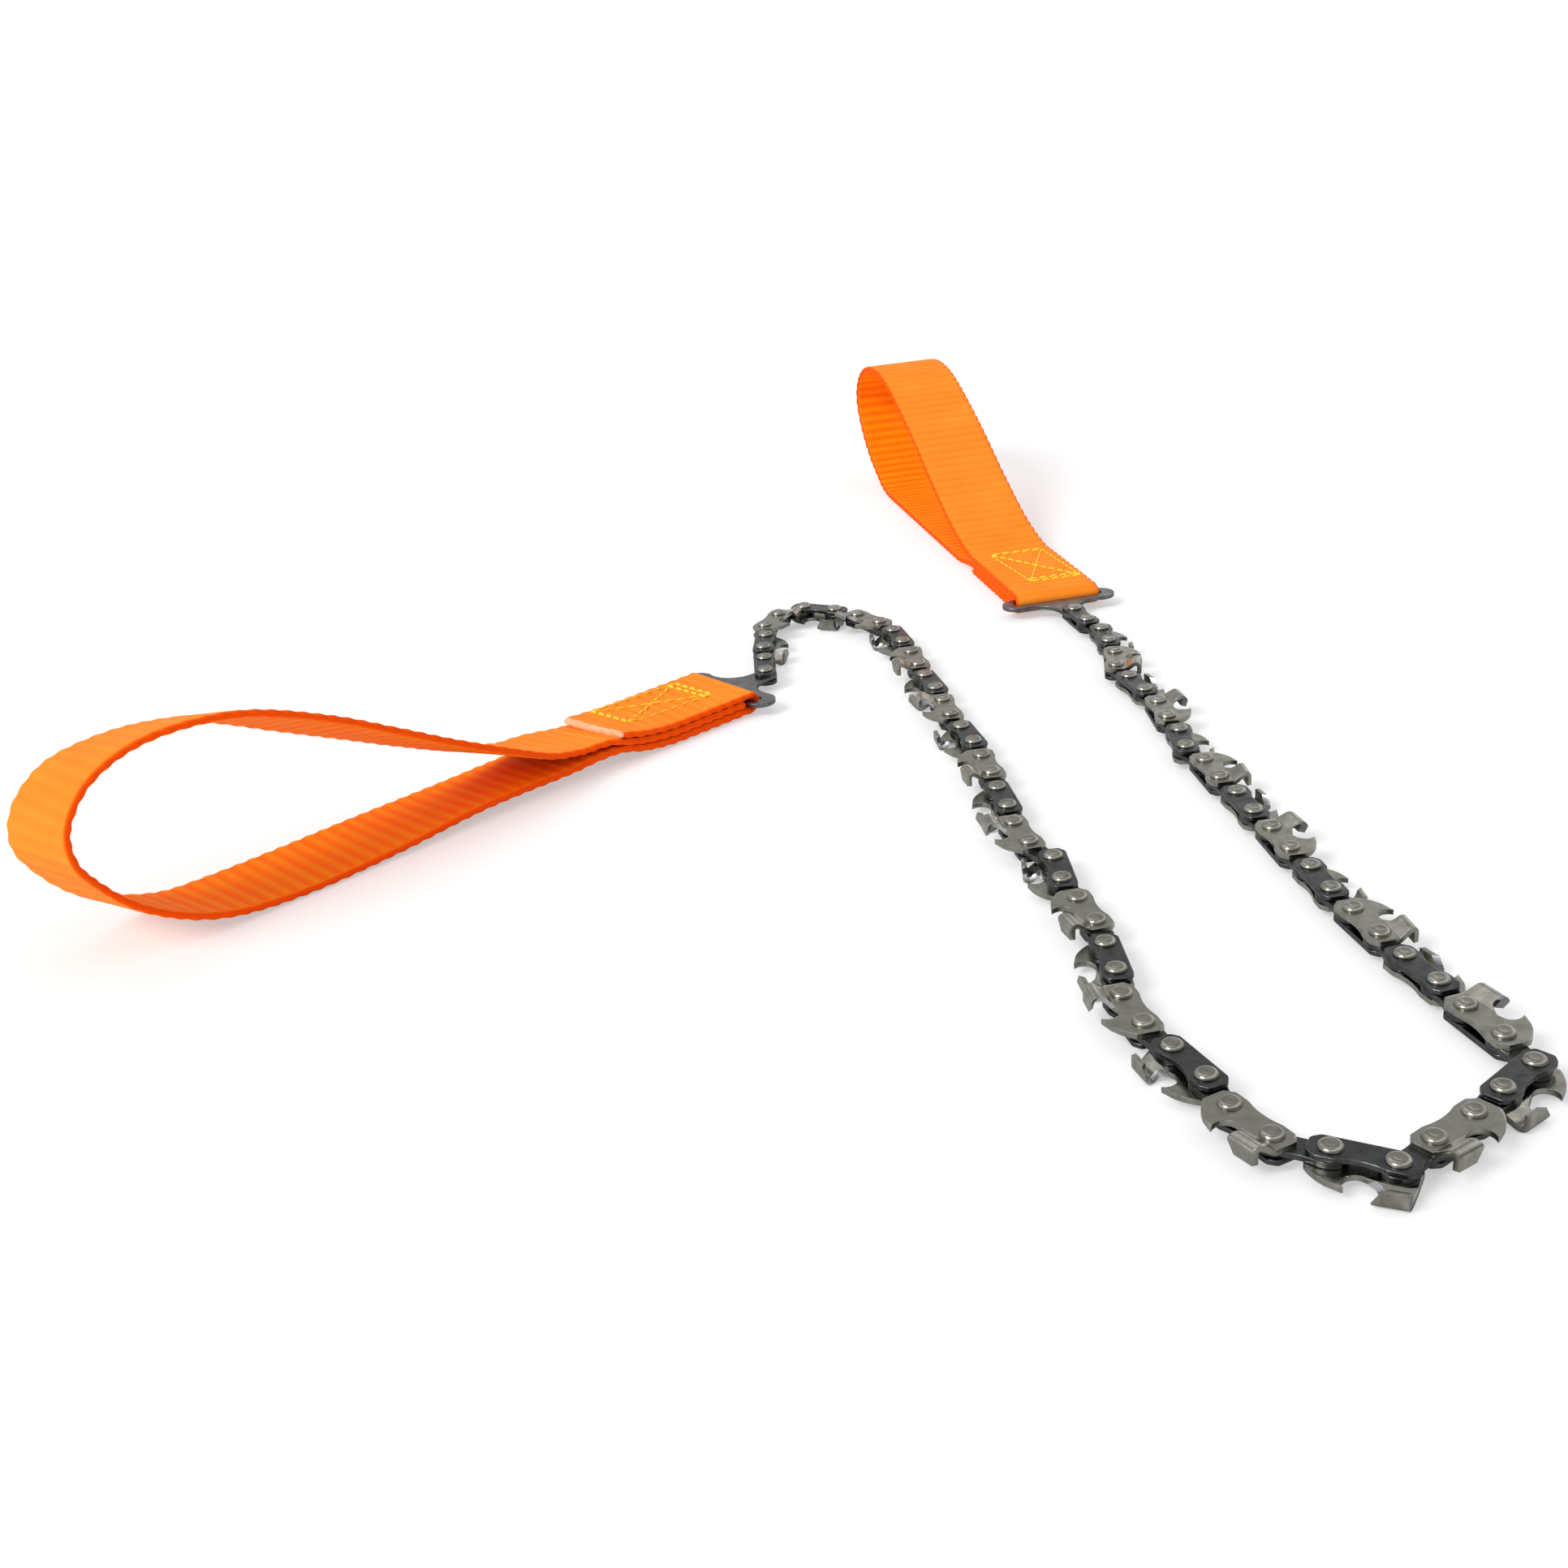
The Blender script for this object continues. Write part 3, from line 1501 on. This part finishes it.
    def lines(self) -> tuple[Array, Array, Array, Array]:
        """The middle line in the frame's millimetres, with its directions.

        The direction across is the level one at right angles to the line, turned about the
        line by the row's lean.

        Returns:
            The points, the directions across the webbing, the directions out of its upper
            face at the flap, and the length to each point.
        """
        rows = self.route()
        points = self.to_row(rows[:, 0], rows[:, 2], rows[:, 1])
        length = np.append(0, np.cumsum(np.linalg.norm(np.diff(points, axis=0), axis=1)))
        run = np.gradient(points, axis=0)
        run /= np.linalg.norm(run, axis=1)[:, None]
        c, s = along(self.heading)
        level = np.cross(run, [-s, c, 0.0])
        level /= np.linalg.norm(level, axis=1)[:, None]
        lean = along(rows[:, 3])
        across = np.cross(level, run) * lean[:, :1] + level * lean[:, 1:]
        return points, across, np.cross(run, across), length

    def to_row(self, s: Array, b: Array, z: Array) -> Array:
        """Points at distances s from the rivet, places b across and heights z."""
        c, sn = along(self.heading)
        return np.stack([self.place[0] + s * c - b * sn, self.place[1] + s * sn + b * c, z], -1)

    def webbing(self) -> Shell:
        """The ribbed webbing.

        A ring of points runs round the webbing's section: flat above and below, with a half
        round at each edge. Along the length the two faces rise and fall as the square of the
        sine of the length over the rib pitch, and the edges draw in between ribs. The face
        toward the inside of the hand loop has a finish of its own.

        Returns:
            The shell.
        """
        points, across, out, length = self.lines()
        flat = np.linspace(-1, 1, 15)
        edge = along(np.linspace(90, -90, 7))[1:-1]
        round_r = self.thick / 2
        half = self.width / 2 - round_r
        b = np.concatenate([flat * half, half + edge[:, 0] * round_r,
                            flat[::-1] * half, -half - edge[:, 0] * round_r])
        c = np.concatenate([np.ones_like(flat), edge[:, 1], -np.ones_like(flat), -edge[:, 1]])
        ridge = (np.sin(np.pi * length / self.rib) ** 2)[:, None]
        height = (c * (round_r - self.rib_h * (1 - ridge)))[..., None]
        spread = (b * (1 - self.draw_in * (1 - ridge)))[..., None]
        rings = points[:, None] + spread * across[:, None] + height * out[:, None]
        rings[..., 2] = np.maximum(rings[..., 2], 0)
        uv = np.stack(np.broadcast_arrays(length[:, None], b), -1).reshape(-1, 2)
        shell = tube(rings, uv)
        inner = c if self.flap is Flap.ABOVE else -c
        inside = np.minimum(inner, np.roll(inner, -1)) > 0.99
        shell.marks[0] = np.tile(inside.astype(int), len(points) - 1)
        return shell

    def stitch_row(self, row: tuple[float, ...]) -> Array:
        """Cuts a sewn line into stitches of about one length.

        Args:
            row: Both places of its start, both of its end, and the thread's radius.

        Returns:
            The same five numbers for each stitch.
        """
        a, b = np.array(row[:2]), np.array(row[2:4])
        count = max(round(np.linalg.norm(b - a) / self.stitch), 1)
        at, gap = np.arange(count)[:, None] / count, self.stitch_gap / count
        first, last = a + (at + gap) * (b - a), a + (at + 1 / count - gap) * (b - a)
        return np.hstack([first, last, np.full((count, 1), row[4])])

    def stitches(self) -> Shell:
        """The sewing: rows of short humps of thread, in a box with a cross, on both faces.

        Each stitch is a tube of eight sides along a straight. Its radius follows the root of
        the sine of the way along it and its height above the cloth the sine itself, so that
        both its ends dive in.

        Returns:
            The shell.
        """
        near_a, near_b, far_b, far_a = self.box
        second_a, second_b = ((s + self.second_row, b) for s, b in (near_a, near_b))
        data = np.concatenate([self.stitch_row(row) for row in (
            (*near_a, *near_b, 0.42), (*second_a, *second_b, 0.42), (*far_a, *far_b, 0.46),
            (*near_a, *far_a, 0.22), (*near_b, *far_b, 0.22),
            (*near_a, *far_b, 0.30), (*near_b, *far_a, 0.24),
        )])
        a, b, girth = data[:, None, :2], data[:, None, 2:4], data[:, 4:, None]
        way = np.linspace(0, 1, 7)[:, None]
        hump = np.sin(np.pi * (0.06 + 0.88 * way))
        turn = along(np.arange(8) * 45)
        run = (b - a) / np.linalg.norm(b - a, axis=-1)[..., None]
        side = np.stack([-run[..., 1], run[..., 0]], -1)[:, None]
        radius = girth * hump**0.5
        plan = (a + way * (b - a))[:, :, None] + (radius * turn[:, 0])[..., None] * side
        s, across = plan[..., 0], plan[..., 1]
        cloth = self.layer_z + self.thick / 2
        over = cloth - self.stitch_low + self.stitch_hump * hump + radius * turn[:, 1]
        shells = []
        for face in (1, -1):
            z = MID_Z + face * over + self.lift(s, across)
            rings = self.to_row(s, across, np.maximum(z, self.floor_clear))
            shells += [tube(ring) for ring in rings]
        return Shell.joined(shells)

    def bead(self) -> Shell:
        """The melted end of the flap: an uneven round bar across the webbing.

        Its radius varies with three sines of the place across, its middle bulges out as a
        parabola, and both ends close in on a steep root.

        Returns:
            The shell.
        """
        b = np.linspace(-1, 1, 41)[:, None]
        lump = 1 + 0.05 * np.sin(9 * b + 1) + 0.04 * np.sin(23 * b) + 0.03 * np.sin(41 * b + 2)
        radius = np.sqrt(np.maximum(1 - np.abs(b) ** 12, 0.02)) * lump
        turn = along(np.arange(16) * 22.5)
        middle = self.flap_end + self.bead_out + self.bead_bulge * (1 - b**2)
        s = middle + self.bead_deep * radius * turn[:, 0]
        z = MID_Z + self.flap.value * self.layer_z + radius * turn[:, 1]
        z = np.maximum(z + self.lift(self.flap_end, b * self.width / 2), self.floor_clear)
        across = np.broadcast_to(b * (self.width / 2 - 0.2), s.shape)
        return tube(self.to_row(s, across, z))

    def build(self) -> None:
        """Makes the webbing, its sewing and its melted end, and hangs them on their body."""
        body = f"handle_strap_{self.side}"
        cloth = self.webbing().piece(f"webbing_{self.side}", [WEBBING, WEBBING_INSIDE])
        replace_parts(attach(cloth, body), body)
        thread = self.stitches().piece(f"thread_{self.side}", [THREAD])
        bead = self.bead().piece(f"sealed_end_{self.side}", [MELTED_END])
        for piece in (thread, bead):
            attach(piece, body)
        length = self.lines()[3][-1]
        log.info("%s strap: %.0f mm of webbing", self.side, length)


# ---------------------------------------------------------------- the studio

@dataclass
class Studio:
    """Camera, pale floor and soft light.

    Attributes:
        eye: Place of the camera.
        pitch: Angle in degrees by which it looks down.
        roll: Angle in degrees by which it is turned about its own line of sight.
        focal_px: Focal length in the picture's pixels.
        picture_px: Width of the picture.
        sensor: Width of the camera's sensor.
        floor_half: Half the width of the floor.
        floor_drop: Gap between the floor and the saw.
        floor_white: Lightness of the floor as everything but reflections sees it.
        floor_lift: Share of plain white in the floor as the camera sees it.
        floor_gloss: Lightness of the floor as reflections see it.
        bright_side: Direction that the surround is brightest toward.
        surround: Lightness of the surround, by the place from behind that direction to it.
        key: Direction from the saw to the lamp.
        key_light: Light that falls on a face turned to the lamp, in watts a square metre.
        key_width: Angle in degrees that the lamp fills.
    """

    eye: tuple[float, float, float] = (20.2, -444.7, 170.7)
    pitch: float = 23.71
    roll: float = -5.06
    focal_px: float = 2248
    picture_px: float = 1932
    sensor: float = 36
    floor_half: float = 60_000
    floor_drop: float = 0.2
    floor_white: float = 0.98
    floor_lift: float = 0.45
    floor_gloss: float = 0.5
    bright_side: tuple[float, float, float] = (-0.30, 0.45, 0.84)
    surround: tuple[tuple[float, float], ...] = (
        (0.02, 0.2), (0.42, 0.25), (0.60, 0.9), (0.80, 1.0), (0.85, 0.42), (0.90, 0.42),
        (0.98, 1.0),
    )
    key: tuple[float, float, float] = (-0.72, -0.42, 0.75)
    key_light: float = 1.9
    key_width: float = 26

    def camera(self) -> None:
        """Sets the camera: it looks along +Y, tipped down by the pitch and turned by the roll."""
        p, r = np.radians(self.pitch), np.radians(self.roll)
        right, down = np.array([1.0, 0, 0]), np.array([0, -np.sin(p), -np.cos(p)])
        forward = np.array([0, np.cos(p), -np.sin(p)])
        image_x = np.cos(r) * right - np.sin(r) * down
        image_y = np.sin(r) * right + np.cos(r) * down
        data = bpy.data.cameras.new("camera")
        data.sensor_width = self.sensor
        data.lens = self.sensor * self.focal_px / self.picture_px
        data.clip_start, data.clip_end = 0.01, 20
        camera = bpy.data.objects.new("camera", data)
        matrix = Matrix.Identity(4)
        for k, column in enumerate((image_x, -image_y, -forward, np.array(self.eye) * MM)):
            matrix[0][k], matrix[1][k], matrix[2][k] = column
        camera.matrix_world = matrix
        bpy.context.scene.collection.objects.link(camera)
        bpy.context.scene.camera = camera

    def floor(self) -> None:
        """A wide pale floor just under the saw: matt, with some plain white for the camera."""
        h, z = self.floor_half * MM, -self.floor_drop * MM
        mesh = bpy.data.meshes.new("floor")
        mesh.from_pydata([(-h, -h, z), (h, -h, z), (h, h, z), (-h, h, z)], [], [(0, 1, 2, 3)])
        nodes = Nodes(bpy.data.materials.new("floor"))
        path = nodes.add("LightPath")
        glossy = path.outputs["Is Glossy Ray"]
        shade = nodes.add("Mix", {0: glossy, 2: self.floor_white, 3: self.floor_gloss})
        nodes.feed(nodes.shader.inputs["Base Color"], shade.outputs[0])
        nodes.feed(nodes.shader.inputs["Roughness"], 0.9)
        nodes.feed(nodes.shader.inputs["Specular IOR Level"], 0.0)
        lift = nodes.maths("MULTIPLY", path.outputs["Is Camera Ray"], self.floor_lift)
        white = nodes.add("Emission", {"Strength": 1.0})
        blend = nodes.add("MixShader", {0: lift, 1: nodes.shader.outputs[0], 2: white.outputs[0]})
        nodes.feed(nodes.tree.nodes["Material Output"].inputs["Surface"], blend.outputs[0])
        mesh.materials.append(nodes.owner)
        floor = bpy.data.objects.new("floor", mesh)
        bpy.context.scene.collection.objects.link(floor)

    def lamp(self) -> None:
        """A soft distant lamp."""
        data = bpy.data.lights.new("key", "SUN")
        data.energy, data.angle = self.key_light, np.radians(self.key_width)
        lamp = bpy.data.objects.new("key", data)
        lamp.rotation_euler = Vector(self.key).to_track_quat("Z", "Y").to_euler()
        bpy.context.scene.collection.objects.link(lamp)

    def world(self) -> None:
        """A surround that the camera sees as white and the saw as a studio.

        Its lightness follows the cosine of the angle to the brightest direction, brought from
        -1 .. 1 to 0 .. 1.
        """
        nodes = Nodes(bpy.data.worlds.new("studio"))
        bpy.context.scene.world = nodes.owner
        view = nodes.add("TexCoord").outputs["Generated"]
        lean = nodes.add("VectorMath", {0: view, 1: self.bright_side}, operation="DOT_PRODUCT")
        place = nodes.add("MapRange", {"Value": lean.outputs["Value"], "From Min": -1.0})
        grey = nodes.ramp(place.outputs[0], [(at, (g, g, g)) for at, g in self.surround])
        seen = nodes.add("LightPath").outputs["Is Camera Ray"]
        shown = nodes.add("Mix", {0: seen, 2: grey, 3: 1.0})
        nodes.feed(nodes.shader.inputs["Color"], (1, 1, 1, 1))
        nodes.feed(nodes.shader.inputs["Strength"], shown.outputs[0])

    def build(self) -> None:
        """Makes the camera, the floor, the world and the lamp."""
        bpy.context.scene.view_settings.view_transform = "Standard"
        self.camera()
        self.floor()
        self.world()
        self.lamp()
        log.info("studio: camera, floor, surround and lamp")


def main() -> None:
    """Builds the studio, the chain, the end plates and the handles."""
    logging.basicConfig(level=logging.INFO, format="%(name)s %(message)s")
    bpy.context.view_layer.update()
    Studio().build()
    chain = Chain()
    chain.build()
    handles = [
        HandleStrap("right", tuple(chain.rivets[0]), 100, Flap.BELOW, RIGHT_LOOP,
                    ((23.6, -10.8), (24.4, 4.2), (53.6, 6.8), (53.0, -9.0))),
        HandleStrap("left", tuple(chain.rivets[-1]), 220, Flap.ABOVE, LEFT_LOOP,
                    ((23.3, -9.4), (22.4, 4.8), (48.3, 3.4), (49.4, -10.8)),
                    rise=1.7, tilt=0.08),
    ]
    end_plate = EndPlate(chain.layers).shell()
    for rivet, handle in zip((0, len(chain.rivets) - 1), handles):
        name = f"end_plate_{handle.side}"
        shell = end_plate.placed(chain.matrix(rivet, handle.heading))
        chain.add(f"t_plate_{handle.side}", shell, [PLATE_STEEL], name, [name])
        handle.build()


if __name__ == "__main__":
    main()
